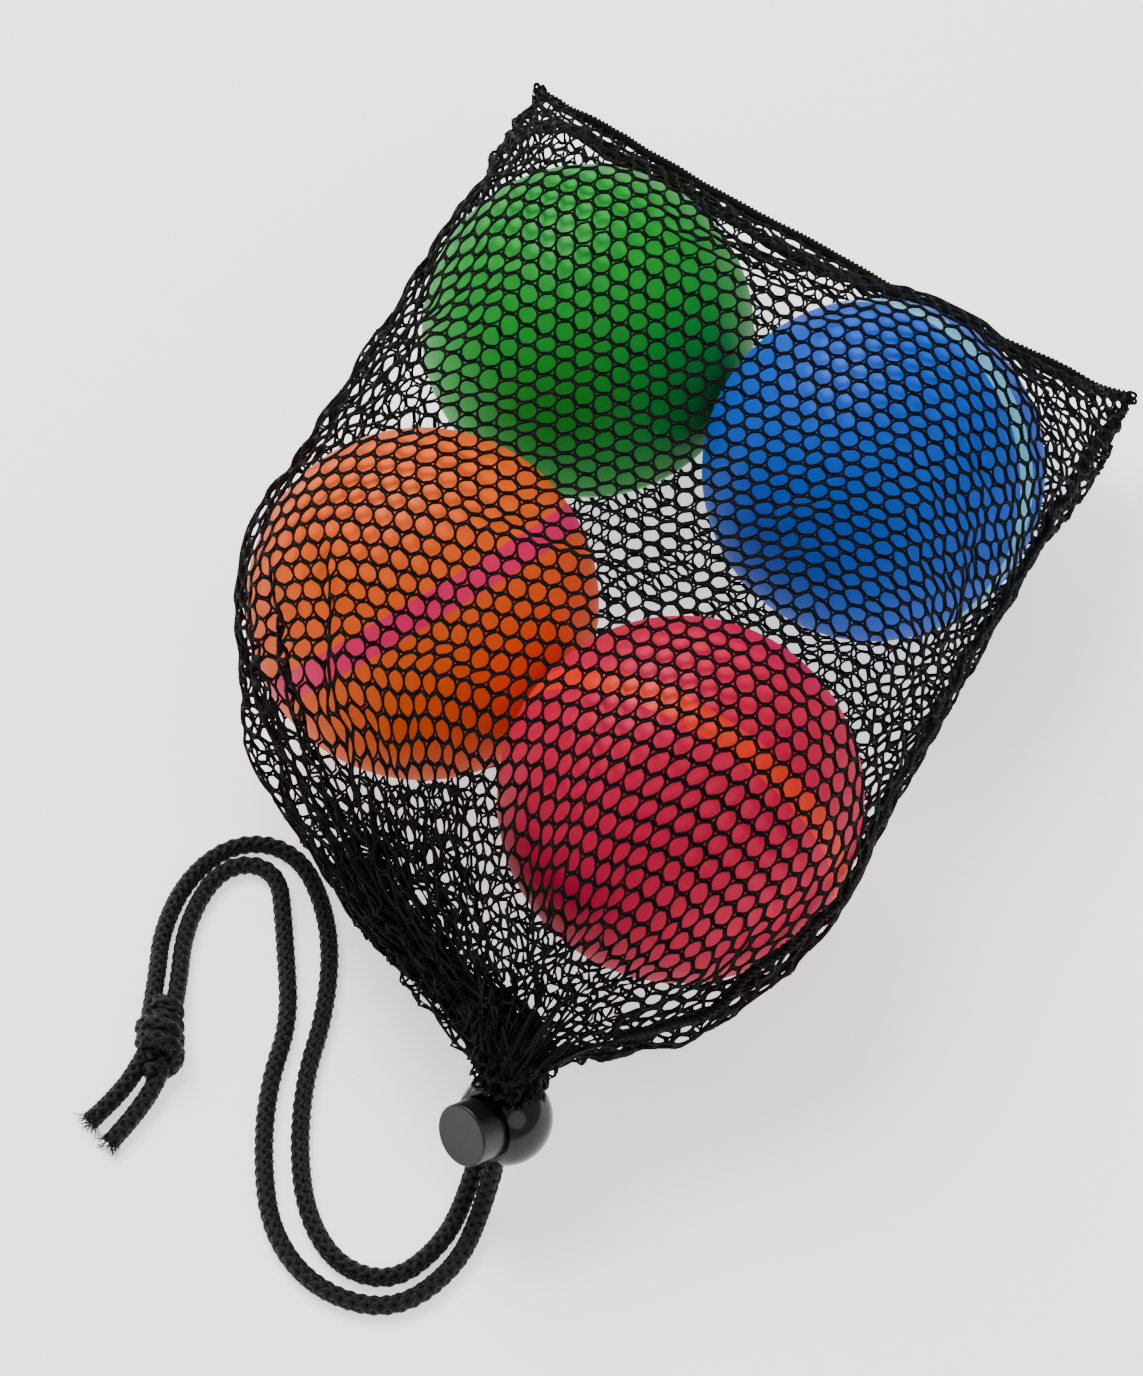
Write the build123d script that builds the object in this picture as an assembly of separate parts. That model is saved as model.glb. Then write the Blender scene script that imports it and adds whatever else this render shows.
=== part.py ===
from build123d import *
import os
from math import pi, radians, sqrt, tan

# Mesh drawstring bag lying on its side with four play balls in it.
# Millimetres. +Z is up, the floor is Z = 0, and +Y runs from the gathered mouth to the bottom seam.

# ---- driving dimensions ----
ball_diameter = 63.5
ball_wall = 5.0
band_width = 5.0
band_depth = 0.8
ball_centres = {
    "green": (-30.4, 49.9),
    "blue": (31.1, 32.0),
    "orange": (-37.0, -25.3),
    "red": (20.4, -53.5),
}
# The balls' centres and the bag's outline are measured for this ball, and spread from the neck for a larger one.
measured_ball_diameter = 63.5
band_normals = {
    "green": (0.20, -0.61, 0.77),
    "blue": (-0.30, -0.82, 0.49),
    "orange": (-0.68, 0.42, 0.61),
    "red": (-0.22, -0.96, -0.16),
}

net_thickness = 0.7
net_ball_gap = 0.45
neck_middle = (10.2, -106.0, 28.0)
neck_width = 12.0
neck_height = 10.4
# The bag's outline from above, as its left and right points from the neck to the bottom seam.
outline = [
    ((-62.0, -62.0), (57.5, -70.0)),
    ((-72.8, -25.0), (58.0, -25.0)),
    ((-67.3, 81.6), (65.8, 34.9)),
]
left_corner = (-64.8, 123.9)
right_corner = (70.6, 75.6)
seam_edge_height = 2.4
seam_edge_level = 22.0
bottom_seam_width = 3.6
bottom_seam_thickness = 3.0
side_seam_diameter = 2.6
side_seam_gap = 0.15

cord_diameter = 3.5
cord_pair_gap = 0.4
cord_exit_gap = 0.3
cord_bend_share = 0.45

lock_diameter = 16.1
lock_centre = (9.5, -115.6, 17.5)
cord_direction = (-0.109, -0.390, -0.914)
button_direction = (-0.455, -0.798, 0.395)
button_diameter = 10.8
button_stand_out = 10.5
button_travel = 2.7
button_floor = 1.2
button_fit = 0.08
lock_flat_level = 5.2
lock_bore_floor = -4.2
cord_pinch_gap = 0.15
cord_side_gap = 0.3
cord_hole_rounding = 1.7
button_edge_rounding = 0.4
spring_wire = 0.45
spring_coil_diameter = 6.4
spring_turns = 4
spring_pocket_depth = 1.8
spring_pocket_gap = 0.7
spring_end_gap = 0.05

hem_diameter = 13.4
hem_length = 10.5
hem_rounding = 3.0
hem_cord_ring_diameter = 8.2
hem_cord_gap = 0.1
hem_lock_gap = 0.5

knot_diameter = 9.0
knot_length = 13.5
knot_rounding = 3.4
knot_centre = (-55.6, -110.8, 4.7)
knot_direction = (0.378, -0.926, 0.0)

# The free cords, from the cord lock to the knot, as the points that their runs lead to.
cord_radius = cord_diameter / 2
outer_strand_points = [
    (7.8, -137.0, cord_radius),
    (0.8, -148.0, cord_radius),
    (-12.5, -148.2, cord_radius),
    (-23.5, -140.5, cord_radius),
    (-30.5, -127.0, cord_radius),
    (-35.0, -112.5, cord_radius),
    (-36.4, -98.5, cord_radius),
    (-42.0, -85.6, cord_radius),
    (-46.2, -76.4, cord_radius),
    (-48.9, -70.8, cord_radius),
    (-52.8, -68.3, cord_radius),
    (-56.9, -68.8, cord_radius),
    (-60.2, -72.3, cord_radius),
    (-61.4, -79.0, cord_radius),
    (-60.7, -88.0, cord_radius),
    (-57.4, -98.0, 2.6),
    (-55.0, -107.4, 4.2),
]
inner_strand_points = [
    (4.0, -133.6, cord_radius),
    (-1.2, -142.6, cord_radius),
    (-10.5, -142.8, cord_radius),
    (-19.0, -135.5, cord_radius),
    (-25.2, -123.5, cord_radius),
    (-29.6, -109.0, cord_radius),
    (-31.0, -95.5, cord_radius),
    (-34.8, -82.0, cord_radius),
    (-40.2, -72.2, cord_radius),
    (-46.8, -64.8, cord_radius),
    (-54.6, -62.8, cord_radius),
    (-61.4, -66.6, cord_radius),
    (-65.2, -75.8, cord_radius),
    (-65.0, -87.5, cord_radius),
    (-61.6, -98.0, 2.6),
    (-58.9, -107.6, 4.2),
]
# The cut tails start inside the knot, which trims them.
outer_tail_points = [(-53.0, -114.6, 4.2), (-53.6, -123.2, 2.3), (-56.4, -131.6, cord_radius)]
inner_tail_points = [(-56.8, -113.6, 4.2), (-58.2, -121.8, 2.3), (-61.3, -128.6, cord_radius)]

# ---- sizes that follow ----
ball_radius = ball_diameter / 2
ball_growth = ball_diameter / measured_ball_diameter
net_inner_half = ball_radius + net_ball_gap
net_outer_half = net_inner_half + net_thickness
ball_level = net_outer_half
lock_radius = lock_diameter / 2
button_radius = button_diameter / 2
cord_spacing = cord_diameter + cord_pair_gap
pinch_height = cord_diameter + 2 * cord_pinch_gap
hole_height = pinch_height + button_travel
hole_width = cord_spacing + cord_diameter + 2 * cord_side_gap
pinch_level = pinch_height / 2
hem_start = lock_radius + hem_lock_gap


def spread(point):
    """A point of the outline or a ball's centre, as far from the neck as the ball's size asks."""
    return tuple(middle + (value - middle) * ball_growth for value, middle in zip(point, neck_middle))


left_ear = spread(left_corner)
right_ear = spread(right_corner)
# Stations of the bag from its neck to its bottom seam: left point, right point, lowest and highest level.
neck_station = (
    (neck_middle[0] - neck_width / 2, neck_middle[1]),
    (neck_middle[0] + neck_width / 2, neck_middle[1]),
    neck_middle[2] - neck_height / 2,
    neck_middle[2] + neck_height / 2,
)
seam_station = (
    left_ear,
    right_ear,
    seam_edge_level - seam_edge_height / 2,
    seam_edge_level + seam_edge_height / 2,
)
ball_stations = [(spread(left), spread(right), 0.0, 2 * net_outer_half) for left, right in outline]
stations = [neck_station, *ball_stations, seam_station]

os.makedirs("parts", exist_ok=True)


def keep(name, shape):
    export_step(shape, f"parts/{name}.step")


# ---- balls: two moulded halves with a band let in over their joint ----
def ball_plane(colour):
    x, y = spread(ball_centres[colour])
    return Plane(origin=(x, y, ball_level), z_dir=band_normals[colour])


def make_ball(colour):
    plane = ball_plane(colour)
    shell = Sphere(ball_radius) - Sphere(ball_radius - ball_wall)
    ring = Cylinder(2 * ball_radius, band_width) - Cylinder(ball_radius - band_depth, band_width)
    band = shell & ring
    halves = shell - ring
    side = 3 * ball_radius
    upper = halves & Pos(0, 0, side / 2) * Box(side, side, side)
    lower = halves & Pos(0, 0, -side / 2) * Box(side, side, side)
    keep(f"{colour}_ball_half_a", plane * upper)
    keep(f"{colour}_ball_half_b", plane * lower)
    keep(f"{colour}_ball_band", plane * band)


for colour in ball_centres:
    make_ball(colour)


# ---- net: one folded mesh panel, as a thin closed shell ----
def station_face(left, right, low, high, inset):
    """The bag's rounded section between two points, drawn in by the inset all round."""
    across = Vector(right[0] - left[0], right[1] - left[1], 0)
    middle = ((left[0] + right[0]) / 2, (left[1] + right[1]) / 2, (low + high) / 2)
    plane = Plane(origin=middle, x_dir=across, z_dir=across.cross(Vector(0, 0, 1)))
    width = across.length - 2 * inset
    height = high - low - 2 * inset
    return plane * SlotOverall(width, height)


def bag_solid(inset):
    return loft([station_face(*station, inset) for station in stations], ruled=True)


lock_axis = Vector(*cord_direction).normalized()
lock_side = Vector(*button_direction).cross(lock_axis).normalized()
lock_button_axis = lock_axis.cross(lock_side).normalized()
# In the lock's own frame +Z is the way the button comes out, +Y runs up to the neck and +X across the cords.
lock_plane = Plane(origin=lock_centre, x_dir=lock_side, z_dir=lock_button_axis)
# In the hem's frame +Z runs up from the lock into the gathered mouth.
hem_origin = Vector(*lock_centre) + lock_button_axis * pinch_level - lock_axis * hem_start
hem_plane = Plane(origin=hem_origin, x_dir=lock_side, z_dir=-lock_axis)

hem_outer = Pos(0, 0, hem_length / 2) * Cylinder(hem_diameter / 2, hem_length)
hem_outer = fillet(hem_outer.edges().filter_by(GeomType.CIRCLE), hem_rounding)
ring_level = hem_length / 2
channel = Pos(0, 0, ring_level) * Torus(hem_cord_ring_diameter / 2, cord_radius + hem_cord_gap)
hem = hem_plane * (hem_outer - channel)
keep("mouth_hem", hem)
keep("drawstring_loop", hem_plane * (Pos(0, 0, ring_level) * Torus(hem_cord_ring_diameter / 2, cord_radius)))

net = bag_solid(0) - bag_solid(net_thickness) - hem_plane * hem_outer
keep("net_panel", net)


# ---- seams ----
def bottom_seam():
    along = Vector(right_ear[0] - left_ear[0], right_ear[1] - left_ear[1], 0)
    outwards = Vector(0, 0, 1).cross(along).normalized()
    middle = Vector((left_ear[0] + right_ear[0]) / 2, (left_ear[1] + right_ear[1]) / 2, seam_edge_level)
    plane = Plane(origin=middle, x_dir=along, z_dir=outwards)
    profile = SlotOverall(along.length, bottom_seam_thickness)
    return plane * extrude(profile, bottom_seam_width)


def side_seam():
    """A round rolled seam down the right-hand edge, just outside the net."""
    stand_off = side_seam_diameter / 2 + side_seam_gap
    points = []
    for left, right, low, high in stations[1:]:
        outwards = Vector(right[0] - left[0], right[1] - left[1], 0).normalized()
        points.append(Vector(right[0], right[1], (low + high) / 2) + outwards * stand_off)
    start = points[0]
    route = Polyline(*points)
    profile = Plane(origin=start, z_dir=points[1] - start) * Circle(side_seam_diameter / 2)
    return sweep(profile, path=route, transition=Transition.ROUND)


keep("bottom_seam", bottom_seam())
keep("side_seam", side_seam())


# ---- cord lock: ball-shaped housing, push button and spring ----
def cord_hole(level, length):
    """The flat-sided hole for two cords side by side, along the lock's Y."""
    return Pos(0, 0, level) * Rot(90, 0, 0) * extrude(RectangleRounded(hole_width, hole_height, cord_hole_rounding), length, both=True)


def lock_housing():
    flat_cut = Pos(0, 0, lock_flat_level + lock_diameter / 2) * Box(lock_diameter, lock_diameter, lock_diameter)
    bore_length = lock_flat_level - lock_bore_floor
    bore = Pos(0, 0, lock_bore_floor + bore_length / 2) * Cylinder(button_radius + button_fit, bore_length)
    pocket_radius = (spring_coil_diameter + spring_wire) / 2 + spring_pocket_gap
    pocket = Pos(0, 0, lock_bore_floor - spring_pocket_depth / 2) * Cylinder(pocket_radius, spring_pocket_depth)
    hole = cord_hole(pinch_height - hole_height / 2, lock_diameter)
    return Sphere(lock_radius) - flat_cut - bore - pocket - hole


def lock_button():
    length = button_stand_out + button_floor
    body = Pos(0, 0, button_stand_out - length / 2) * Cylinder(button_radius, length)
    rim = body.edges().filter_by(GeomType.CIRCLE).group_by(Axis.Z)[-1]
    return fillet(rim, button_edge_rounding) - cord_hole(hole_height / 2, lock_diameter)


def lock_spring():
    base = lock_bore_floor - spring_pocket_depth + spring_end_gap + spring_wire / 2
    top = -button_floor - spring_end_gap - spring_wire / 2
    height = top - base
    path = Helix(pitch=height / spring_turns, height=height, radius=spring_coil_diameter / 2)
    profile = Plane(origin=path @ 0, z_dir=path % 0) * Circle(spring_wire / 2)
    return Pos(0, 0, base) * sweep(profile, path=path, is_frenet=True)


keep("lock_housing", lock_plane * lock_housing())
keep("lock_button", lock_plane * lock_button())
keep("lock_spring", lock_plane * lock_spring())


# ---- cords ----
def point_on_line(side, along):
    """A point on one of the two cords where they run straight through the lock."""
    middle = Vector(*lock_centre) + lock_button_axis * pinch_level
    return middle + lock_side * (side * cord_spacing / 2) + lock_axis * along


def tube(points, label):
    """Straight runs joined by arcs as large as the runs allow."""
    points = [Vector(*p) if isinstance(p, tuple) else p for p in points]
    runs = [b - a for a, b in zip(points, points[1:])]
    radii = []
    for first, second in zip(runs, runs[1:]):
        half_turn = radians(first.get_angle(second)) / 2
        radii.append(cord_bend_share * min(first.length, second.length) / tan(half_turn))
    path = FilletPolyline(*points, radius=radii)
    profile = Plane(origin=path @ 0, z_dir=path % 0) * Circle(cord_radius)
    solid = sweep(profile, path=path)
    print(label, "length", round(path.length, 1), "radii", [round(r, 1) for r in radii])
    print(label, "volume / (section x length)", round(solid.volume / (pi * cord_radius**2 * path.length), 4))
    return solid


lock_exit = sqrt(lock_radius**2 - pinch_level**2) + cord_exit_gap
legs = []
for side in (1, -1):
    top = point_on_line(side, -hem_start)
    plane = Plane(origin=top, z_dir=lock_axis)
    legs.append(plane * extrude(Circle(cord_radius), lock_exit + hem_start))
keep("drawstring_in_lock", Compound(children=legs))


def strand(side, points, label):
    start = point_on_line(side, lock_exit)
    drop = (start.Z - cord_radius) / -lock_axis.Z
    landing = start + lock_axis * drop
    return tube([start, landing] + points, label)


knot_axis = Vector(*knot_direction).normalized()
knot_plane = Plane(origin=knot_centre, z_dir=knot_axis)
knot_body = Cylinder(knot_diameter / 2, knot_length)
knot_body = fillet(knot_body.edges().filter_by(GeomType.CIRCLE), knot_rounding)
knot = knot_plane * knot_body
keep("end_knot", knot)
keep("strand_outer", strand(1, outer_strand_points, "outer strand") - knot)
keep("strand_inner", strand(-1, inner_strand_points, "inner strand") - knot)
keep("tail_outer", tube(outer_tail_points, "outer tail") - knot)
keep("tail_inner", tube(inner_tail_points, "inner tail") - knot)
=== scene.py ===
import math
import random

import bmesh
import bpy
import numpy as np
from mathutils import Matrix, Vector, noise


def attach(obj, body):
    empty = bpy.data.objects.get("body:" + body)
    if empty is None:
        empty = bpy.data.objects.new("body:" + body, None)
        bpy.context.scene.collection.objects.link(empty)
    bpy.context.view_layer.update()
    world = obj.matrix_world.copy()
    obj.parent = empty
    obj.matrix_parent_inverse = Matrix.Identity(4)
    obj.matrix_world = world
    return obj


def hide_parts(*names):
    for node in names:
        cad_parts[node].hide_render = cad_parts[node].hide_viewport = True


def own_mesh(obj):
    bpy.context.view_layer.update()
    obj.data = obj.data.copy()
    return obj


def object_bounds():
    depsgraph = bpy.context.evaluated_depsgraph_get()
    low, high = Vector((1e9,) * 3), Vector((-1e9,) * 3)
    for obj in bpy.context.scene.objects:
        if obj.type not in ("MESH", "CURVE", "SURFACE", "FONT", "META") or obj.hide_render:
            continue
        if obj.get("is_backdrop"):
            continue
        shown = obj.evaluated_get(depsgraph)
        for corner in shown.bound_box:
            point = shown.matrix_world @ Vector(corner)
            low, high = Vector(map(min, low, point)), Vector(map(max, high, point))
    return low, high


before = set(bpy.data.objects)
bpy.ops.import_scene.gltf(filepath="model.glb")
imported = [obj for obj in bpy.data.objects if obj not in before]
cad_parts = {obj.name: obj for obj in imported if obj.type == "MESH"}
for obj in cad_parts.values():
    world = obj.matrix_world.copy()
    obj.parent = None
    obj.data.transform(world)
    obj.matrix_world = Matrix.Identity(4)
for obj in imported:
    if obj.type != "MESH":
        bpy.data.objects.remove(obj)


def saveSize(label, sizes):
    low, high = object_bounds()
    sizes[label] = [list(low), list(high)]


sizes = {}
saveSize("cad", sizes)


def mm(*values):
    return Vector(values) / 1000


# camera
view = {
    "place": mm(136.3, -463.1, 569.5),
    "right": Vector((0.949, 0.315, 0.0)),
    "up": Vector((-0.241, 0.727, 0.643)),
    "back": Vector((0.202, -0.610, 0.766)),
    "lens": 103.64,
}
camera = bpy.data.objects.new("camera", bpy.data.cameras.new("camera"))
bpy.context.scene.collection.objects.link(camera)
camera.data.sensor_width = 36
camera.data.lens = view["lens"]
camera.data.clip_start = 0.01
turn = Matrix((view["right"], view["up"], view["back"])).transposed()
camera.matrix_world = Matrix.Translation(view["place"]) @ turn.to_4x4()
bpy.context.scene.camera = camera
print("stage: camera")


# node groups shared by the materials
def newGroup(name, inputs, outputs):
    group = bpy.data.node_groups.new(name, "ShaderNodeTree")
    for label, kind, value in inputs:
        socket = group.interface.new_socket(name=label, in_out="INPUT", socket_type=kind)
        socket.default_value = value
    for label, kind in outputs:
        group.interface.new_socket(name=label, in_out="OUTPUT", socket_type=kind)
    return group, group.nodes.new("NodeGroupInput"), group.nodes.new("NodeGroupOutput")


def addNode(tree, kind, settings=None, inputs=None):
    node = tree.nodes.new(kind)
    for key, value in (settings or {}).items():
        setattr(node, key, value)
    for key, value in (inputs or {}).items():
        if isinstance(value, bpy.types.NodeSocket):
            tree.links.new(value, node.inputs[key])
        else:
            node.inputs[key].default_value = value
    return node


def math2(tree, operation, first, second, clamp=False):
    node = addNode(tree, "ShaderNodeMath", {"operation": operation, "use_clamp": clamp}, {0: first, 1: second})
    return node.outputs[0]


def noiseValue(tree, vector, scale, detail=3.0, roughness=0.55):
    node = addNode(
        tree, "ShaderNodeTexNoise", None, {"Vector": vector, "Scale": scale, "Detail": detail, "Roughness": roughness}
    )
    return node.outputs["Fac"]


def makeMarks():
    group, given, result = newGroup(
        "surfaceMarks",
        [("Grain", "NodeSocketFloat", 900.0), ("Depth", "NodeSocketFloat", 0.05), ("Wear", "NodeSocketFloat", 0.5)],
        [("Mask", "NodeSocketFloat"), ("Cloud", "NodeSocketFloat"), ("Normal", "NodeSocketVector")],
    )
    place = addNode(group, "ShaderNodeTexCoord").outputs["Object"]
    cloud = noiseValue(group, place, 55.0, 4.0)
    scrape = addNode(group, "ShaderNodeMapping", None, {"Vector": place, "Scale": (260.0, 1900.0, 700.0), "Rotation": (0.5, 0.4, 0.9)})
    scratch = addNode(
        group, "ShaderNodeMapRange", {"interpolation_type": "SMOOTHSTEP"},
        {"Value": noiseValue(group, scrape.outputs[0], 1.0, 2.0), "From Min": 0.62, "From Max": 0.74},
    )
    patch = addNode(
        group, "ShaderNodeMapRange", {"interpolation_type": "SMOOTHSTEP"},
        {"Value": noiseValue(group, place, 120.0, 5.0, 0.7), "From Min": 0.52, "From Max": 0.68},
    )
    mask = math2(group, "MULTIPLY", scratch.outputs[0], patch.outputs[0])
    mask = math2(group, "MULTIPLY", mask, given.outputs["Wear"])
    grain = noiseValue(group, place, given.outputs["Grain"], 3.0, 0.6)
    height = math2(group, "SUBTRACT", grain, mask)
    bump = addNode(group, "ShaderNodeBump", None, {"Strength": given.outputs["Depth"], "Distance": 0.0002, "Height": height})
    group.links.new(mask, result.inputs["Mask"])
    group.links.new(cloud, result.inputs["Cloud"])
    group.links.new(bump.outputs[0], result.inputs["Normal"])
    return group


def makeYarn():
    group, given, result = newGroup(
        "yarnFibre",
        [("Fineness", "NodeSocketFloat", 3500.0), ("Depth", "NodeSocketFloat", 0.5)],
        [("Shade", "NodeSocketFloat"), ("Normal", "NodeSocketVector")],
    )
    place = addNode(group, "ShaderNodeTexCoord").outputs["Object"]
    fibre = noiseValue(group, place, given.outputs["Fineness"], 2.0, 0.7)
    shade = math2(group, "MULTIPLY_ADD", noiseValue(group, place, 420.0, 3.0), 0.5)
    bump = addNode(group, "ShaderNodeBump", None, {"Strength": given.outputs["Depth"], "Distance": 0.00025, "Height": fibre})
    group.links.new(shade, result.inputs["Shade"])
    group.links.new(bump.outputs[0], result.inputs["Normal"])
    return group


marks = makeMarks()
yarn = makeYarn()


def newMaterial(name):
    material = bpy.data.materials.new(name)
    material.use_nodes = True
    tree = material.node_tree
    return material, tree, tree.nodes["Principled BSDF"]


def placeGroup(tree, group, **values):
    node = tree.nodes.new("ShaderNodeGroup")
    node.node_tree = group
    for key, value in values.items():
        node.inputs[key].default_value = value
    return node


def hardMaterial(name, color, worn, roughness, spread, grain=900.0, depth=0.05, wear=0.5, specular=0.5, coat=0.0):
    material, tree, shader = newMaterial(name)
    node = placeGroup(tree, marks, Grain=grain, Depth=depth, Wear=wear)
    mix = addNode(
        tree, "ShaderNodeMix", {"data_type": "RGBA"},
        {"Factor": node.outputs["Mask"], "A": (*color, 1.0), "B": (*worn, 1.0)},
    )
    for socket in mix.inputs:
        if socket.type == "RGBA":
            socket.default_value = (*color, 1.0) if socket.name == "A" else (*worn, 1.0)
    tree.links.new([s for s in mix.outputs if s.type == "RGBA"][0], shader.inputs["Base Color"])
    rough = math2(tree, "MULTIPLY", node.outputs["Cloud"], spread)
    rough = math2(tree, "ADD", rough, roughness - spread / 2)
    rough = math2(tree, "ADD", rough, math2(tree, "MULTIPLY", node.outputs["Mask"], 0.25), True)
    tree.links.new(rough, shader.inputs["Roughness"])
    tree.links.new(node.outputs["Normal"], shader.inputs["Normal"])
    shader.inputs["Specular IOR Level"].default_value = specular
    shader.inputs["Coat Weight"].default_value = coat
    shader.inputs["Coat Roughness"].default_value = 0.08
    return material


def yarnMaterial(name, dark, light, roughness, fineness=3500.0, depth=0.5, sheen=0.3, specular=0.1):
    material, tree, shader = newMaterial(name)
    node = placeGroup(tree, yarn, Fineness=fineness, Depth=depth)
    ramp = addNode(tree, "ShaderNodeValToRGB", None, {"Fac": node.outputs["Shade"]})
    ramp.color_ramp.elements[0].position = 0.3
    ramp.color_ramp.elements[0].color = (*dark, 1.0)
    ramp.color_ramp.elements[1].position = 0.75
    ramp.color_ramp.elements[1].color = (*light, 1.0)
    tree.links.new(ramp.outputs[0], shader.inputs["Base Color"])
    tree.links.new(node.outputs["Normal"], shader.inputs["Normal"])
    shader.inputs["Roughness"].default_value = roughness
    shader.inputs["Specular IOR Level"].default_value = specular
    shader.inputs["Sheen Weight"].default_value = sheen
    shader.inputs["Sheen Roughness"].default_value = 0.5
    return material


netBlack = yarnMaterial("netBlack", (0.0008, 0.0008, 0.0009), (0.003, 0.003, 0.0032), 0.65, sheen=0.0, specular=0.1)
seamBlack = yarnMaterial("seamBlack", (0.0008, 0.0008, 0.0009), (0.003, 0.003, 0.0032), 0.7, sheen=0.0, specular=0.1)
braidBlack = yarnMaterial("braidBlack", (0.001, 0.001, 0.0011), (0.004, 0.004, 0.0043), 0.5, 2600.0, 0.8, 0.02, 0.18)
coreBlack = yarnMaterial("coreBlack", (0.001, 0.001, 0.001), (0.002, 0.002, 0.002), 0.8, sheen=0.0)
lockBlack = hardMaterial("lockBlack", (0.0015, 0.0015, 0.0016), (0.03, 0.03, 0.03), 0.14, 0.06, 700.0, 0.02, 0.35, 0.28)
buttonBlack = hardMaterial("buttonBlack", (0.005, 0.005, 0.0053), (0.03, 0.03, 0.03), 0.34, 0.1, 1500.0, 0.10, 0.5, 0.35)
springSteel, steelTree, steelShader = newMaterial("springSteel")
steelShader.inputs["Metallic"].default_value = 1.0
steelShader.inputs["Base Color"].default_value = (0.55, 0.55, 0.56, 1.0)
steelShader.inputs["Roughness"].default_value = 0.3
print("stage: materials")

# balls keep their own shapes and take these finishes
ballLooks = {
    "green": {"shell": (0.0, 0.36, 0.028), "band": (0.24, 0.70, 0.27)},
    "blue": {"shell": (0.0, 0.105, 0.72), "band": (0.15, 0.60, 0.90)},
    "orange": {"shell": (1.0, 0.12, 0.0), "band": (0.95, 0.0, 0.13)},
    "red": {"shell": (0.70, 0.002, 0.058), "band": (1.0, 0.022, 0.0)},
}
for colour, look in ballLooks.items():
    shell = hardMaterial(colour + "Shell", look["shell"], tuple(min(1.0, c * 0.85 + 0.03) for c in look["shell"]), 0.5, 0.12, 2400.0, 0.10, 0.5, 0.2)
    band = hardMaterial(colour + "Band", look["band"], tuple(min(1.0, c * 0.8 + 0.06) for c in look["band"]), 0.52, 0.12, 2400.0, 0.12, 0.5, 0.3)
    for node, material in (("half_a", shell), ("half_b", shell), ("band", band)):
        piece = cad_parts[f"{colour}_ball_{node}"]
        piece.data.materials.clear()
        piece.data.materials.append(material)
for node, material in (
    ("lock_housing", lockBlack), ("lock_button", buttonBlack),
    ("drawstring_loop", braidBlack), ("mouth_hem", netBlack),
):
    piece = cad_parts[node]
    piece.data.materials.clear()
    piece.data.materials.append(material)
print("stage: balls and lock")


# cords
def linkObject(name, data, material, body="bag"):
    obj = bpy.data.objects.new(name, data)
    bpy.context.scene.collection.objects.link(obj)
    data.materials.append(material)
    if body:
        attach(obj, body)
    return obj


def nurbsCurve(name, points):
    curve = bpy.data.curves.new(name, "CURVE")
    curve.dimensions = "3D"
    curve.resolution_u = 16
    spline = curve.splines.new("NURBS")
    spline.points.add(len(points) - 1)
    for point, place in zip(spline.points, points):
        point.co = (*(c / 1000 for c in place), 1.0)
    spline.order_u = 3
    spline.use_endpoint_u = True
    return curve


def splinePoints(curve):
    probe = bpy.data.objects.new("probe", curve)
    bpy.context.scene.collection.objects.link(probe)
    bpy.context.view_layer.update()
    mesh = bpy.data.meshes.new_from_object(probe.evaluated_get(bpy.context.evaluated_depsgraph_get()))
    points = [v.co.copy() for v in mesh.vertices]
    bpy.data.meshes.remove(mesh)
    bpy.data.objects.remove(probe)
    return points


def resample(points, step):
    array = np.array([tuple(p) for p in points])
    gaps = np.linalg.norm(np.diff(array, axis=0), axis=1)
    array = array[np.concatenate(([True], gaps > 1e-7))]
    run = np.concatenate(([0.0], np.cumsum(np.linalg.norm(np.diff(array, axis=0), axis=1))))
    count = max(3, int(round(run[-1] / step)) + 1)
    at = np.linspace(0.0, run[-1], count)
    return np.stack([np.interp(at, run, array[:, k]) for k in range(3)], axis=1), at


def carriedFrames(points):
    along = np.gradient(points, axis=0)
    along /= np.linalg.norm(along, axis=1)[:, None]
    side = np.cross(along[0], (0.0, 0.0, 1.0))
    side = side / np.linalg.norm(side) if np.linalg.norm(side) > 1e-3 else np.array((1.0, 0.0, 0.0))
    sides = []
    for direction in along:
        side = side - direction * np.dot(side, direction)
        side = side / np.linalg.norm(side)
        sides.append(side)
    sides = np.array(sides)
    return along, sides, np.cross(along, sides)


def tubeMesh(name, paths, radius, resolution=1, radii=None):
    curve = bpy.data.curves.new(name, "CURVE")
    curve.dimensions = "3D"
    curve.bevel_depth = radius
    curve.bevel_resolution = resolution
    curve.use_fill_caps = True
    for path in paths:
        spline = curve.splines.new("POLY")
        spline.points.add(len(path) - 1)
        spline.points.foreach_set("co", np.hstack([path, np.ones((len(path), 1))]).ravel())
        if radii is not None:
            spline.points.foreach_set("radius", np.interp(np.linspace(0, 1, len(path)), np.linspace(0, 1, len(radii)), radii))
    probe = bpy.data.objects.new(name + "Probe", curve)
    bpy.context.scene.collection.objects.link(probe)
    bpy.context.view_layer.update()
    mesh = bpy.data.meshes.new_from_object(probe.evaluated_get(bpy.context.evaluated_depsgraph_get()))
    bpy.data.objects.remove(probe)
    bpy.data.curves.remove(curve)
    mesh.name = name
    mesh.shade_smooth()
    return mesh


braid = {"radius": 0.00175, "yarn": 0.00060, "wave": 0.00013, "pitch": 0.0086, "carriers": 4, "step": 0.00034}


def braidPaths(points, values):
    line, at = resample(points, values["step"])
    along, sides, ups = carriedFrames(line)
    middle = values["radius"] - values["yarn"] - values["wave"]
    paths = []
    for way in (1, -1):
        for carrier in range(values["carriers"]):
            angle = way * 2 * math.pi * at / values["pitch"] + 2 * math.pi * carrier / values["carriers"]
            weave = np.cos(2 * math.pi * values["carriers"] * at / values["pitch"])
            reach = middle + way * values["wave"] * weave
            paths.append(line + (sides * np.cos(angle)[:, None] + ups * np.sin(angle)[:, None]) * reach[:, None])
    return paths


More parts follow.
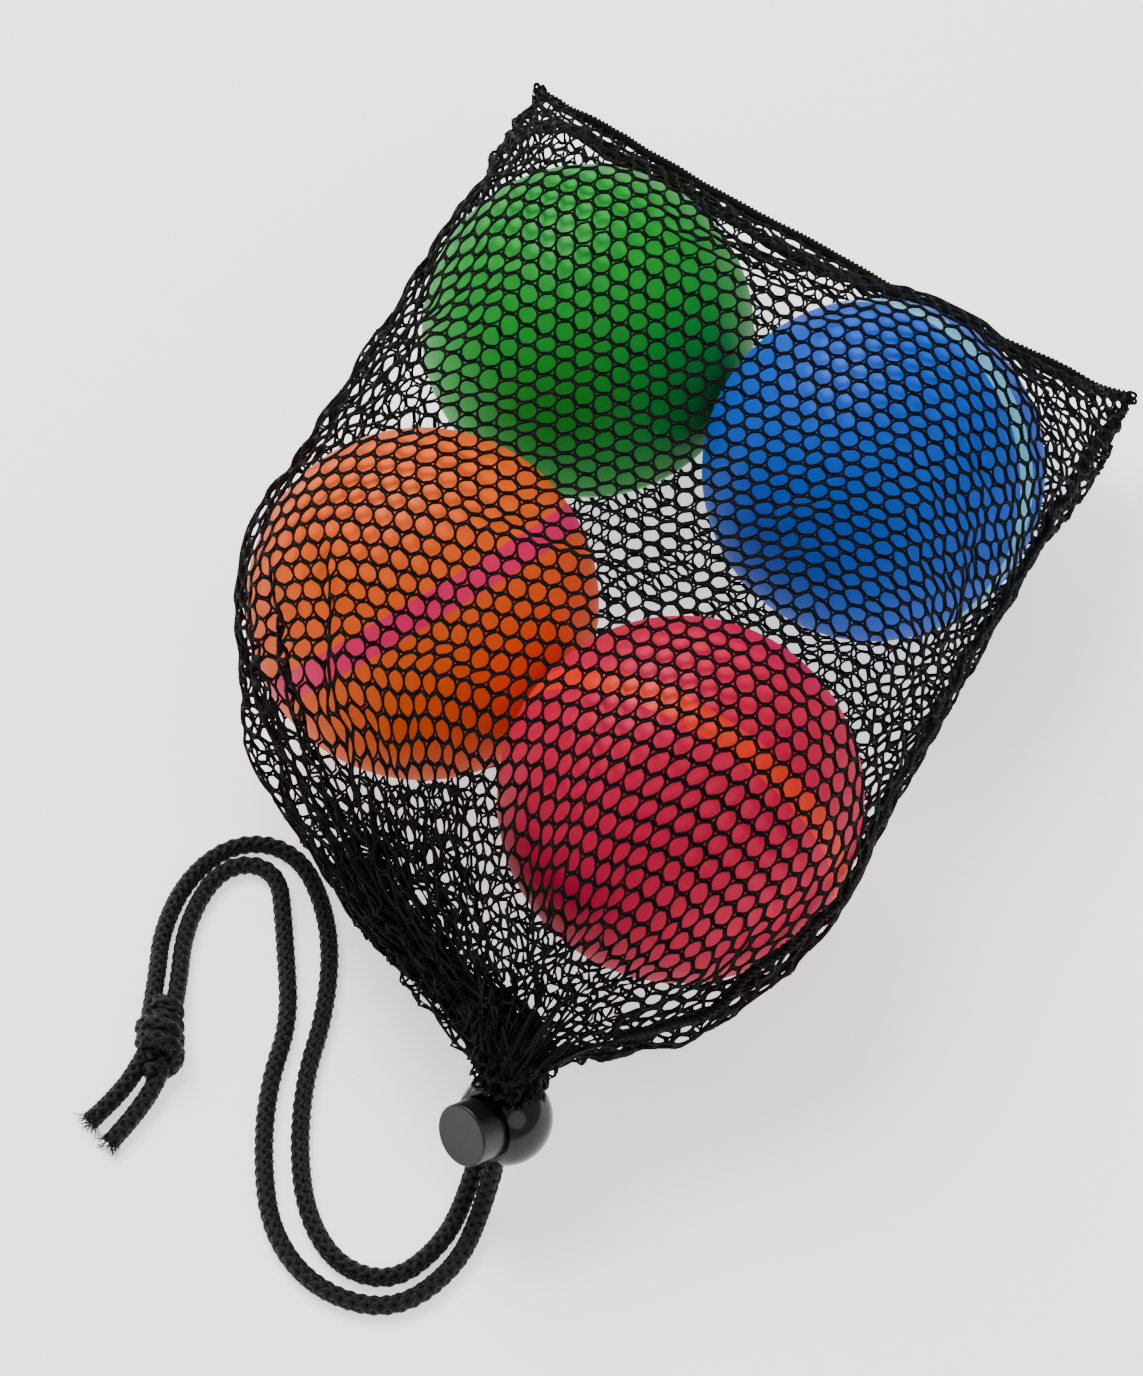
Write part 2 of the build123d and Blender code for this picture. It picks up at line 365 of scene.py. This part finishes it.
def braidedCord(name, points):
    cover = linkObject(name, tubeMesh(name, braidPaths(points, braid), braid["yarn"], 2), braidBlack)
    inner = linkObject(name + "Core", tubeMesh(name + "Core", [resample(points, 0.001)[0]], 0.00122, 3), coreBlack)
    return cover, inner


lockCentre = mm(9.5, -115.6, 17.5)
cordWay = Vector((-0.109034, -0.390122, -0.914285))
buttonWay = Vector((-0.455056, -0.798142, 0.394833))
lockSide = buttonWay.cross(cordWay)

# a coil for the spring at one fixed length; on the real lock it flattens as the button is pressed, down to what the
# travel leaves of it
spring = {"coil": 0.0032, "wire": 0.000225, "low": -0.005725, "high": -0.001475, "turns": 4, "keep": 0.42}
turns = np.linspace(0.0, 1.0, 24 * spring["turns"] + 1)
coilPath = [
    tuple(
        lockCentre + buttonWay * (spring["low"] + (spring["high"] - spring["low"]) * t)
        + lockSide * (spring["coil"] * math.cos(2 * math.pi * spring["turns"] * t))
        - cordWay * (spring["coil"] * math.sin(2 * math.pi * spring["turns"] * t))
    )
    for t in turns
]
lockSpring = linkObject("lockSpring", tubeMesh("lockSpring", [np.array(coilPath)], spring["wire"], 2), springSteel, "cord_lock")
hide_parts("lock_spring")
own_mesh(lockSpring)
print("stage: spring")

outerStrand = [
    (9.47, -121.18, 11.0), (8.37, -125.13, 1.75), (7.8, -137.0, 1.75), (0.8, -148.0, 1.75), (-12.5, -148.2, 1.75),
    (-23.5, -140.5, 1.75), (-30.5, -127.0, 1.75), (-35.0, -112.5, 1.75), (-36.4, -98.5, 1.75), (-42.0, -85.6, 1.75),
    (-46.2, -76.4, 1.75), (-48.9, -70.8, 1.75), (-52.8, -68.3, 1.75), (-56.9, -68.8, 1.75), (-60.2, -72.3, 1.75),
    (-61.4, -79.0, 1.75), (-60.7, -88.0, 1.75), (-57.4, -98.0, 2.6), (-55.0, -107.4, 4.2),
]
innerStrand = [
    (6.03, -119.39, 10.65), (4.97, -123.19, 1.75), (4.0, -133.6, 1.75), (-1.2, -142.6, 1.75), (-10.5, -142.8, 1.75),
    (-19.0, -135.5, 1.75), (-25.2, -123.5, 1.75), (-29.6, -109.0, 1.75), (-31.0, -95.5, 1.75), (-34.8, -82.0, 1.75),
    (-40.2, -72.2, 1.75), (-46.8, -64.8, 1.75), (-54.6, -62.8, 1.75), (-61.4, -66.6, 1.75), (-65.2, -75.8, 1.75),
    (-65.0, -87.5, 1.75), (-61.6, -98.0, 2.6), (-58.9, -107.6, 4.2),
]
outerTail = [(-54.4, -110.6, 4.4), (-53.0, -114.6, 4.2), (-53.6, -123.2, 2.3), (-56.4, -131.6, 1.75)]
innerTail = [(-56.4, -110.4, 4.4), (-56.8, -113.6, 4.2), (-58.2, -121.8, 2.3), (-61.3, -128.6, 1.75)]
knot = {
    "centre": mm(-55.6, -110.8, 4.75), "axis": Vector((0.378, -0.926, 0.0)), "turns": 1.9, "pitch": 0.0060,
    "radius": 0.0028, "start": 0.9,
}


def knotPath(values, offset):
    axis = np.array(values["axis"].normalized())
    side = np.cross(axis, (0.0, 0.0, 1.0))
    up = np.array((0.0, 0.0, 1.0))
    turns = np.linspace(-values["turns"] / 2, values["turns"] / 2, 120)
    tuck = np.clip((values["turns"] / 2 - np.abs(turns)) / 0.34, 0.0, 1.0)
    tuck = tuck * tuck * (3 - 2 * tuck)
    angle = 2 * math.pi * turns + values["start"]
    reach = values["radius"] * (0.22 + 0.78 * tuck)
    along = turns * values["pitch"] + offset
    path = np.array(values["centre"]) + axis * along[:, None]
    return path + side * (np.cos(angle) * reach)[:, None] + up * (np.sin(angle) * reach)[:, None]


def frayedEnd(points, seed):
    draw = random.Random(seed)
    last, before = points[-1], points[-4]
    way = (last - before).normalized()
    side = way.cross(Vector((0, 0, 1))).normalized()
    up = side.cross(way)
    fibres = []
    for number in range(90):
        angle = draw.random() * 2 * math.pi
        reach = 0.0016 * math.sqrt(draw.random())
        out = side * math.cos(angle) + up * math.sin(angle)
        spread = draw.uniform(0.05, 0.75)
        length = draw.uniform(0.0010, 0.0030)
        root = last - way * 0.0012 + out * reach
        bend = root + way * length * 0.6 + out * length * 0.15 * spread
        tip = root + way * length + out * length * spread + Vector((0, 0, draw.uniform(-0.3, 0.2) * length))
        tip.z = max(tip.z, 0.0002)
        bend.z = max(bend.z, 0.0002)
        root.z = max(root.z, 0.0002)
        fibres.append(np.array([tuple(root), tuple(bend), tuple(tip)]))
    return fibres


cordLines = {}
for name, points in (("outerStrand", outerStrand), ("innerStrand", innerStrand), ("outerTail", outerTail), ("innerTail", innerTail)):
    cordLines[name] = splinePoints(nurbsCurve(name, points))
    braidedCord(name, cordLines[name])
# the two runs through the lock, from the hem to where the free strands start
lockRun = {"level": 0.0019, "aside": 0.00195, "start": -0.00855, "end": 0.00812}
legPieces = []
for name, way in (("outerLockRun", 1), ("innerLockRun", -1)):
    middle = lockCentre + buttonWay * lockRun["level"] + lockSide * (way * lockRun["aside"])
    legPieces += braidedCord(name, [middle + cordWay * lockRun["start"], middle + cordWay * lockRun["end"]])
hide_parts("drawstring_in_lock")
knotPieces = []
for name, offset in (("knotWrapA", -0.0015), ("knotWrapB", 0.0015)):
    knotPieces += braidedCord(name, [Vector(p) for p in knotPath(knot, offset)])
frays = {
    name: linkObject(name + "Fray", tubeMesh(name + "Fray", frayedEnd(cordLines[name], seed), 0.00006, 0), braidBlack)
    for name, seed in (("outerTail", 3), ("innerTail", 8))
}
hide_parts("strand_outer")
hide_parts("strand_inner")
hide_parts("tail_outer")
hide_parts("tail_inner")
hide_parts("end_knot")
print("stage: cords")

# the bag: a cage of the cloth is pulled tight over the balls by a cloth simulation
bag = {
    "width": 0.152, "length": 0.229, "columns": 90, "rows": 68, "scale": 20.0, "frames": 40, "quality": 6,
    "sleeve": 0.955, "pleats": 17,
}
ballPlaces = {"green": (-30.4, 49.9), "blue": (31.1, 32.0), "orange": (-37.0, -25.3), "red": (20.4, -53.5)}
ballRadius, ballLevel = 0.03175, 0.0329
stations = [
    (0.0, (-64.8, 123.9), (70.6, 75.6), 20.8, 23.2, 0.0),
    (0.10, (-63.6, 106.0), (72.6, 58.0), 10.0, 42.0, 0.0),
    (0.25, (-62.6, 82.0), (66.6, 34.9), 0.5, 66.5, 0.0),
    (0.58, (-72.8, -25.0), (58.0, -25.0), 0.5, 66.5, 0.0),
    (0.74, (-62.0, -62.0), (53.0, -67.5), 0.5, 66.5, 1.0),
    (0.86, (-28.0, -86.5), (38.0, -91.5), 2.0, 46.0, 2.8),
    (0.955, (3.6, -106.0), (17.2, -106.0), 21.8, 33.6, 4.5),
]


def pleatWave(share, count):
    return math.cos(2 * math.pi * count * share + 0.9 * math.sin(10 * math.pi * share) + 0.6 * math.sin(4 * math.pi * share))


def slackShift(along):
    # the slack gathers on the left of the neck
    t = min(max((along - 0.7) / 0.2, 0.0), 1.0)
    return 0.07 * t * t * (3 - 2 * t)


def cornerShift(along):
    # and bunches in the two corners of the bottom seam
    return 0.036 * max(1 - along / 0.22, 0.0) ** 1.5


def slotPoint(along, share):
    for first, second in zip(stations, stations[1:]):
        if along <= second[0] + 1e-9:
            break
    t = (along - first[0]) / (second[0] - first[0])
    left = Vector(first[1]).lerp(Vector(second[1]), t)
    right = Vector(first[2]).lerp(Vector(second[2]), t)
    low, high, pleat = (first[k] + (second[k] - first[k]) * t for k in (3, 4, 5))
    height = high - low
    flat = max((right - left).length - height, 0.0)
    radius = height / 2
    fold = pleat * pleatWave(share, bag["pleats"]) * (0.6 - 0.4 * math.cos(2 * math.pi * share))
    share += slackShift(along) * math.sin(2 * math.pi * share) - cornerShift(along) * math.sin(4 * math.pi * share)
    run = share * (2 * flat + 2 * math.pi * radius)
    quarter = math.pi * radius / 2
    if run <= quarter or run > 3 * quarter + 2 * flat:
        angle = (run if run <= quarter else run - 2 * flat) / radius
        x, z, out = flat / 2 + radius * math.cos(angle), radius * math.sin(angle), (math.cos(angle), math.sin(angle))
    elif run <= quarter + flat:
        x, z, out = flat / 2 - (run - quarter), radius, (0.0, 1.0)
    elif run <= 3 * quarter + flat:
        angle = (run - flat) / radius
        x, z, out = -flat / 2 + radius * math.cos(angle), radius * math.sin(angle), (math.cos(angle), math.sin(angle))
    else:
        x, z, out = -flat / 2 + (run - 3 * quarter - flat), -radius, (0.0, -1.0)
    across = (right - left).normalized()
    place = (left + right) / 2 + across * (x + out[0] * fold)
    return mm(place.x, place.y, max((low + high) / 2 + z + out[1] * fold, 0.4))


def sleevePoint(along, share):
    # rows over the hem, gathered round it down to the lock
    t = (along - bag["sleeve"]) / (1 - bag["sleeve"])
    reach = (0.0057 - 0.0008 * math.sin(math.pi * t)) * (1 + 0.2 * pleatWave(share, bag["pleats"]))
    angle = 2 * math.pi * share
    ring = lockSide * math.cos(angle) + buttonWay * math.sin(angle)
    return lockCentre + buttonWay * 0.0019 - cordWay * (0.0150 - 0.0070 * t) + ring * reach


def cageGrid():
    columns, rows = bag["columns"], bag["rows"]
    grid = np.zeros((columns, rows + 1, 3))
    for i in range(columns):
        for j in range(rows + 1):
            along, share = j / rows, i / columns
            grid[i, j] = slotPoint(along, share) if along <= bag["sleeve"] else sleevePoint(along, share)
    closed = grid.copy()
    for i in range(columns):
        closed[i, 0] = (grid[i, 0] + grid[-i % columns, 0]) / 2
    return closed


def tightened(grid):
    columns, rows, scale = bag["columns"], bag["rows"], bag["scale"]
    bm = bmesh.new()
    bmesh.ops.create_grid(bm, x_segments=columns, y_segments=rows, size=1)
    flatLayer = bm.verts.layers.float_vector.new("flat")
    held = bm.verts.layers.float.new("held")
    for vert in bm.verts:
        i, j = round((vert.co.x + 1) / 2 * columns), round((vert.co.y + 1) / 2 * rows)
        across = 2 * bag["width"] * i / columns
        vert.co = Vector(grid[i % columns, j]) * scale
        vert[flatLayer] = Vector((min(across, 2 * bag["width"] - across), bag["length"] * j / rows, 0)) * scale
        ear = j == 0 and min(i, columns - i) in (0, columns // 2)
        vert[held] = 1.0 if ear or j / rows > bag["sleeve"] else 0.0
    bmesh.ops.remove_doubles(bm, verts=bm.verts, dist=0.0002 * scale)
    bmesh.ops.recalc_face_normals(bm, faces=bm.faces)
    mesh = bpy.data.meshes.new("cage")
    bm.to_mesh(mesh)
    bm.free()
    cage = bpy.data.objects.new("cage", mesh)
    bpy.context.scene.collection.objects.link(cage)
    count = len(mesh.vertices)
    start, flat, hold = np.empty(count * 3), np.empty(count * 3, np.float32), np.empty(count, np.float32)
    mesh.vertices.foreach_get("co", start)
    mesh.attributes["flat"].data.foreach_get("vector", flat)
    mesh.attributes["held"].data.foreach_get("value", hold)
    start = start.reshape(-1, 3)
    cage.shape_key_add(name="Basis")
    key = cage.shape_key_add(name="Flat")
    key.data.foreach_set("co", flat)
    group = cage.vertex_groups.new(name="held")
    group.add([n for n in range(count) if hold[n] > 0], 1.0, "REPLACE")
    helpers = []
    for x, y in ballPlaces.values():
        bpy.ops.mesh.primitive_uv_sphere_add(
            segments=64, ring_count=32, radius=ballRadius * scale, location=Vector((x / 1000, y / 1000, ballLevel)) * scale
        )
        helpers.append((bpy.context.object, 0.02))
    bpy.ops.mesh.primitive_plane_add(size=12)
    helpers.append((bpy.context.object, 0.01))
    for helper, gap in helpers:
        helper.modifiers.new("Collision", "COLLISION")
        helper.collision.thickness_outer = gap
        helper.collision.cloth_friction = 2.0
        helper.collision.damping = 0.5
    cloth = cage.modifiers.new("Cloth", "CLOTH")
    for setting, value in {
        "quality": bag["quality"], "mass": 0.05, "tension_stiffness": 10, "compression_stiffness": 2, "shear_stiffness": 1.5,
        "bending_stiffness": 0.02, "tension_damping": 5, "compression_damping": 5, "shear_damping": 5, "air_damping": 3,
        "vertex_group_mass": "held", "rest_shape_key": key,
    }.items():
        setattr(cloth.settings, setting, value)
    cloth.collision_settings.collision_quality = 4
    cloth.collision_settings.distance_min = 0.012
    cloth.collision_settings.use_self_collision = False
    cloth.point_cache.frame_end = bag["frames"] + 5
    scene = bpy.context.scene
    scene.gravity = (0, 0, -4)
    for number in range(1, bag["frames"] + 1):
        scene.frame_set(number)
    result = cage.evaluated_get(bpy.context.evaluated_depsgraph_get())
    final = np.empty(count * 3)
    result.data.vertices.foreach_get("co", final)
    final = final.reshape(-1, 3) / scale
    for helper, gap in helpers:
        bpy.data.objects.remove(helper)
    bpy.data.objects.remove(cage)
    scene.frame_set(1)
    pulled = grid.copy()
    for i in range(columns):
        for j in range(rows + 1):
            pulled[i, j] = final[np.argmin(((start - grid[i, j] * scale) ** 2).sum(axis=1))]
    return pulled


cageShape = cageGrid()
cageShape = tightened(cageShape)
print("stage: cage", cageShape.reshape(-1, 3).min(axis=0), cageShape.reshape(-1, 3).max(axis=0))


def cubicWeights(t):
    return (
        -0.5 * t**3 + t**2 - 0.5 * t, 1.5 * t**3 - 2.5 * t**2 + 1, -1.5 * t**3 + 2 * t**2 + 0.5 * t, 0.5 * t**3 - 0.5 * t**2,
    )


def cagePoints(u, v):
    # u goes round the bag and v from the bottom seam to the mouth, both in metres
    columns, rows = bag["columns"], bag["rows"]
    a = u / (2 * bag["width"]) * columns
    b = np.clip(v / bag["length"] * rows, 0.0, rows - 1e-6)
    i, j = np.floor(a).astype(int), np.floor(b).astype(int)
    wu, wv = cubicWeights(a - i), cubicWeights(b - j)
    total = np.zeros((len(u), 3))
    for m in range(4):
        for n in range(4):
            row = np.clip(j + n - 1, 0, rows)
            total += (wu[m] * wv[n])[:, None] * cageShape[(i + m - 1) % columns, row]
    return total


def areaShare(u, v):
    # how much of its flat area the cloth covers, low where it is bunched
    step = 0.0017
    across = cagePoints(u + step, v) - cagePoints(u - step, v)
    along = cagePoints(u, v + step) - cagePoints(u, v - step)
    normal = np.cross(across, along)
    size = np.linalg.norm(normal, axis=1)
    return size / (4 * step * step), normal / np.maximum(size, 1e-12)[:, None]


lattice = {"cells": 88, "rows": 66, "strand": 0.00060, "corner": 0.27, "parts": 3, "jitter": 0.00012, "tangle": 0.0022, "stir": 0.0016}


def latticePart(name, part, pairs=None, firstCell=0, cells=None, firstRow=None, inset=0.0, stirred=1.0):
    pitch = 2 * bag["width"] / lattice["cells"]
    rise = bag["length"] / (lattice["rows"] + 0.35)
    pairs = pairs or lattice["rows"] // 2 // lattice["parts"]
    firstRow = part * pairs * 2 if firstRow is None else firstRow
    bm = bmesh.new()
    for row in range(2):
        centre = Vector(((0.5 + 0.5 * row) * pitch, (0.5 + row) * rise, 0))
        bmesh.ops.create_circle(bm, cap_ends=True, segments=6, radius=pitch / math.sqrt(3), matrix=Matrix.Translation(centre))
    mesh = bpy.data.meshes.new(name)
    bm.to_mesh(mesh)
    bm.free()
    probe = bpy.data.objects.new(name + "Probe", mesh)
    bpy.context.scene.collection.objects.link(probe)
    for count, offset in ((cells or lattice["cells"], (pitch, 0, 0)), (pairs, (0, 2 * rise, 0))):
        array = probe.modifiers.new("Array", "ARRAY")
        array.count = count
        array.use_relative_offset = False
        array.use_constant_offset = True
        array.constant_offset_displace = offset
    full = bpy.data.meshes.new_from_object(probe.evaluated_get(bpy.context.evaluated_depsgraph_get()))
    bpy.data.objects.remove(probe)
    bm = bmesh.new()
    bm.from_mesh(full)
    bmesh.ops.remove_doubles(bm, verts=bm.verts, dist=pitch * 0.1)
    inner = [v for v in bm.verts if len(v.link_edges) == 3]
    bmesh.ops.bevel(
        bm, geom=inner, offset=pitch / math.sqrt(3) * lattice["corner"], offset_type="OFFSET", segments=1, profile=0.5,
        affect="VERTICES", material=-1,
    )
    bmesh.ops.delete(bm, geom=[f for f in bm.faces if len(f.verts) == 3], context="FACES_ONLY")
    flat = np.array([tuple(v.co) for v in bm.verts])
    flat[:, 0] += firstCell * pitch
    flat[:, 1] += firstRow * rise
    waves = np.array([tuple(noise.noise_vector(Vector((p[0] * 420, p[1] * 420, 7.0 + part)))) for p in flat])
    ease = np.clip(flat[:, 1] / 0.004, 0.0, 1.0) * np.clip((bag["length"] - flat[:, 1]) / 0.004, 0.0, 1.0)
    place = cagePoints(flat[:, 0] + waves[:, 0] * lattice["jitter"] * 2, flat[:, 1] + waves[:, 1] * lattice["jitter"] * 2 * ease)
    share, normal = areaShare(flat[:, 0], flat[:, 1])
    slack = np.clip(1.05 - share, 0.0, 0.8) * stirred + (stirred - 1) * 0.25
    tangle = np.array([tuple(noise.turbulence_vector(Vector((p[0] * 190, p[1] * 190, 3.0)), 2, False)) for p in flat])
    stir = np.array([tuple(noise.noise_vector(Vector((p[0] * 330, p[1] * 330, 11.0)))) for p in flat])
    place = place + (tangle * lattice["tangle"] + stir * lattice["stir"]) * (slack * ease)[:, None] - normal * inset
    place[:, 2] = np.maximum(place[:, 2], lattice["strand"] / 2 + 0.0001)
    for vert, spot in zip(bm.verts, place):
        vert.co = spot
    bmesh.ops.remove_doubles(bm, verts=bm.verts, dist=0.00002)
    bmesh.ops.recalc_face_normals(bm, faces=bm.faces)
    for vert in bm.verts:
        vert.normal_update()
    bmesh.ops.wireframe(
        bm, faces=bm.faces, thickness=lattice["strand"], use_boundary=True, use_even_offset=False, use_replace=True,
        use_relative_offset=False,
    )
    bm.to_mesh(full)
    bm.free()
    full.shade_smooth()
    full.name = name
    obj = linkObject(name, full, netBlack)
    print("stage:", name, len(full.polygons), "faces")
    return obj


centre = np.array((0.0, -0.07, 0.03))
probePoint = cagePoints(np.array([bag["width"] * 0.5]), np.array([bag["length"] * 0.5]))
outward = float(np.sign((areaShare(np.array([bag["width"] * 0.5]), np.array([bag["length"] * 0.5]))[1] * (probePoint - centre)).sum()))
netPieces = [latticePart(name, part) for part, name in enumerate(("netBottom", "netMiddle", "netMouth"))]
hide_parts("net_panel")
# folds of the slack cloth inside the left of the neck
foldPieces = [
    latticePart("neckFoldsOuter", 5, 5, 24, 37, 54, 0.0020 * outward, 1.5),
    latticePart("neckFoldsInner", 6, 5, 28, 30, 55, 0.0040 * outward, 1.7),
]

# the gathered hem inside the neck
hem = {"radius": 0.0052, "low": 0.0070, "high": 0.0165, "pleats": 13, "depth": 0.10}
bm = bmesh.new()
bmesh.ops.create_cone(bm, cap_ends=True, segments=104, radius1=hem["radius"], radius2=hem["radius"], depth=1.0)
sides = [e for e in bm.edges if abs(e.verts[0].co.z - e.verts[1].co.z) > 0.5]
bmesh.ops.subdivide_edges(bm, edges=sides, cuts=8, use_grid_fill=True)
for vert in bm.verts:
    angle, t = math.atan2(vert.co.y, vert.co.x), vert.co.z + 0.5
    swell = 1 + hem["depth"] * math.cos(hem["pleats"] * angle + 0.8 * math.sin(3 * angle)) + 0.12 * noise.noise(Vector((angle, t * 3, 1)))
    ring = (lockSide * math.cos(angle) + buttonWay * math.sin(angle)) * hem["radius"] * swell * (1 - 0.35 * abs(2 * t - 1) ** 3)
    vert.co = lockCentre + buttonWay * 0.0019 - cordWay * (hem["low"] + (hem["high"] - hem["low"]) * t) + ring
bmesh.ops.recalc_face_normals(bm, faces=bm.faces)
mesh = bpy.data.meshes.new("mouthHem")
bm.to_mesh(mesh)
bm.free()
mesh.shade_smooth()
mouthHem = linkObject("mouthHem", mesh, netBlack)
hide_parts("mouth_hem")


# seams
def seamRope(name, points, radius, thread, turn, threads, seed, wander):
    rough = [Vector(p) + noise.noise_vector(Vector((n * 0.45, seed, 2.5))) * wander for n, p in enumerate(points)]
    line, at = resample(rough, 0.0004)
    along, sides, ups = carriedFrames(line)
    swell = np.array([noise.noise(Vector((d * 260, seed, 0.5))) for d in at])
    paths = []
    for number in range(threads):
        angle = 2 * math.pi * (at / turn + number / threads) + 0.5 * swell
        reach = (radius - thread) * (1 + 0.10 * swell)
        paths.append(line + (sides * np.cos(angle)[:, None] + ups * np.sin(angle)[:, None]) * reach[:, None])
    cover = linkObject(name, tubeMesh(name, paths, thread), seamBlack)
    inner = linkObject(name + "Roll", tubeMesh(name + "Roll", [resample(rough, 0.0015)[0]], radius - 1.3 * thread, 3), seamBlack)
    return cover, inner


half = bag["columns"] // 2
bottomLine = [cageShape[i, 0] for i in range(half + 1)]
sideLine = [cageShape[0, j] for j in range(1, int(bag["rows"] * bag["sleeve"]))]
seamPieces = seamRope("bottomSeam", bottomLine, 0.00115, 0.00028, 0.0040, 4, 1, 0.0007)
sidePieces = seamRope("sideSeam", sideLine, 0.0010, 0.00026, 0.0036, 3, 2, 0.0007)
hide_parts("bottom_seam")
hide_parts("side_seam")


def threadTuft(name, place, seed, count, reach):
    draw = random.Random(seed)
    paths = []
    for number in range(count):
        way = Vector((draw.uniform(-1, 1), draw.uniform(-1, 1), draw.uniform(-0.7, 0.7))).normalized()
        turnWay = way.cross(Vector((draw.uniform(-1, 1), draw.uniform(-1, 1), 1))).normalized()
        size = reach * draw.uniform(0.5, 1.0)
        path = []
        for step in range(14):
            t = step / 13
            spot = Vector(place) + way * size * math.sin(2.2 * t) + turnWay * size * 0.7 * math.sin(draw.uniform(3.6, 4.2) * t)
            path.append(tuple(spot))
        paths.append(np.array(path))
    piece = linkObject(name, tubeMesh(name, paths, 0.00030, 1), seamBlack)
    return piece


cornerTufts = [
    threadTuft("leftCornerTuft", bottomLine[-1], 4, 12, 0.0018),
    threadTuft("rightCornerTuft", bottomLine[0], 5, 14, 0.0016),
]
print("stage: seams")

# floor and light
bpy.ops.mesh.primitive_plane_add(size=4)
floor = bpy.context.object
floor.name = "floor"
floorMaterial, floorTree, floorShader = newMaterial("floorPale")
floorShader.inputs["Base Color"].default_value = (0.96, 0.96, 0.96, 1.0)
floorShader.inputs["Roughness"].default_value = 0.7
floorShader.inputs["Emission Color"].default_value = (1.0, 1.0, 1.0, 1.0)
floorShader.inputs["Emission Strength"].default_value = 1.0
floor.data.materials.append(floorMaterial)
floor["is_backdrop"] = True
world = bpy.data.worlds.new("world")
bpy.context.scene.world = world
world.use_nodes = True
world.node_tree.nodes["Background"].inputs["Color"].default_value = (1.0, 1.0, 1.0, 1.0)
world.node_tree.nodes["Background"].inputs["Strength"].default_value = 0.72


def softLight(name, place, aim, size, power):
    light = bpy.data.lights.new(name, "AREA")
    light.shape = "DISK"
    light.size = size
    light.energy = power
    obj = bpy.data.objects.new(name, light)
    bpy.context.scene.collection.objects.link(obj)
    way = (Vector(aim) - Vector(place)).normalized()
    obj.matrix_world = Matrix.Translation(place) @ way.to_track_quat("-Z", "Y").to_matrix().to_4x4()
    return obj


lights = [
    softLight("keyLight", (-0.50, 0.40, 1.05), (0, -0.02, 0.02), 0.9, 19.0),
    softLight("fillLight", (0.9, -0.6, 0.9), (0, 0, 0.02), 1.0, 4.0),
]
print("stage: floor and light")

saveSize("visual", sizes)
